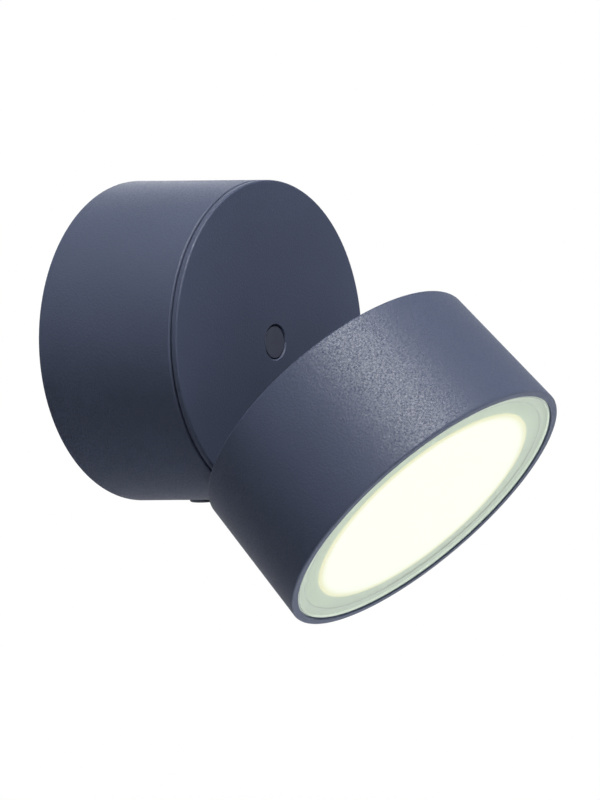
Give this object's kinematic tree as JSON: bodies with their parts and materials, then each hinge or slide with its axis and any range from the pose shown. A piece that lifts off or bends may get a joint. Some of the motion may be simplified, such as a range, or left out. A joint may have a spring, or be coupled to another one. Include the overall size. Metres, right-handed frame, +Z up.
{
  "type": "outdoor wall light",
  "caption": "Outdoor wall light with a round tapered wall base, a swivelling front disc and a tilting drum head with a lit glass lens.",
  "frame": {"origin": "centre of the wall face, midway between the two wall screws", "axes": "+Z up, +Y into the wall, +X to the right when facing the wall; the light stands out along -Y"},
  "size_m": [0.1154, 0.1563, 0.1539],
  "materials": {
    "powder_coat": "cast aluminium with a fine-textured slate-blue powder coat",
    "dark_screw": "blackened steel, satin",
    "zinc_steel": "zinc-plated steel",
    "spring_steel": "bright spring steel",
    "brass": "bare brass",
    "black_rubber": "matt black rubber",
    "plug_rubber": "dark grey rubber, matt",
    "silicone": "translucent silicone",
    "terminal_plastic": "pale moulded plastic",
    "driver_plastic": "white moulded case",
    "bearing_plastic": "self-lubricating plastic",
    "friction_plastic": "dark fibre friction material",
    "reflector_white": "white reflective plastic",
    "board_white": "aluminium board with white solder mask",
    "pad_grey": "grey thermal pad",
    "led_phosphor": "yellow phosphor",
    "opal_plastic": "opal diffuser, lit from behind",
    "clear_glass": "clear glass, faintly green"
  },
  "bodies": {
    "wall_base": {"base_housing": "powder_coat", "wall_gasket": "black_rubber", "wall_bracket": "zinc_steel", "cable_grommet": "black_rubber", "housing_screw": "dark_screw", "clinch_nut": "zinc_steel", "terminal_block": "terminal_plastic", "terminal_screws": "zinc_steel", "terminal_mount_screws": "zinc_steel", "earth_washer": "brass", "earth_screw": "brass", "led_driver": "driver_plastic", "driver_screws": "zinc_steel", "swivel_bush": "bearing_plastic", "stop_pin": "zinc_steel"},
    "swivel": {"swivel_disc": "powder_coat", "swivel_seal": "black_rubber", "swivel_bolt": "zinc_steel", "spring_washer": "zinc_steel", "disc_spring": "spring_steel", "centre_plug": "plug_rubber", "arm_gasket": "black_rubber", "hinge_arm": "powder_coat", "arm_screws": "zinc_steel"},
    "head": {"head_shell": "powder_coat", "heat_sink": "powder_coat", "heat_sink_seal": "black_rubber", "heat_sink_screws": "zinc_steel", "hinge_screws": "dark_screw", "friction_washers": "friction_plastic", "head_grommet": "black_rubber", "thermal_pad": "pad_grey", "led_board": "board_white", "led_chips": "led_phosphor", "led_connector": "terminal_plastic", "board_screws": "zinc_steel", "reflector": "reflector_white", "diffuser": "opal_plastic", "lens_gasket": "silicone", "lens_glass": "clear_glass"}
  },
  "joints": [
    {"name": "disc_swivel", "type": "hinge", "parent": "wall_base", "child": "swivel", "pos_m": [0, -0.0455, 0], "axis": [0, -1, 0], "range_deg": [-170, 170]},
    {"name": "head_tilt", "type": "hinge", "parent": "swivel", "child": "head", "pos_m": [0, -0.0666, -0.0416], "axis": [1, 0, 0], "range_deg": [-44, 6]}
  ]
}
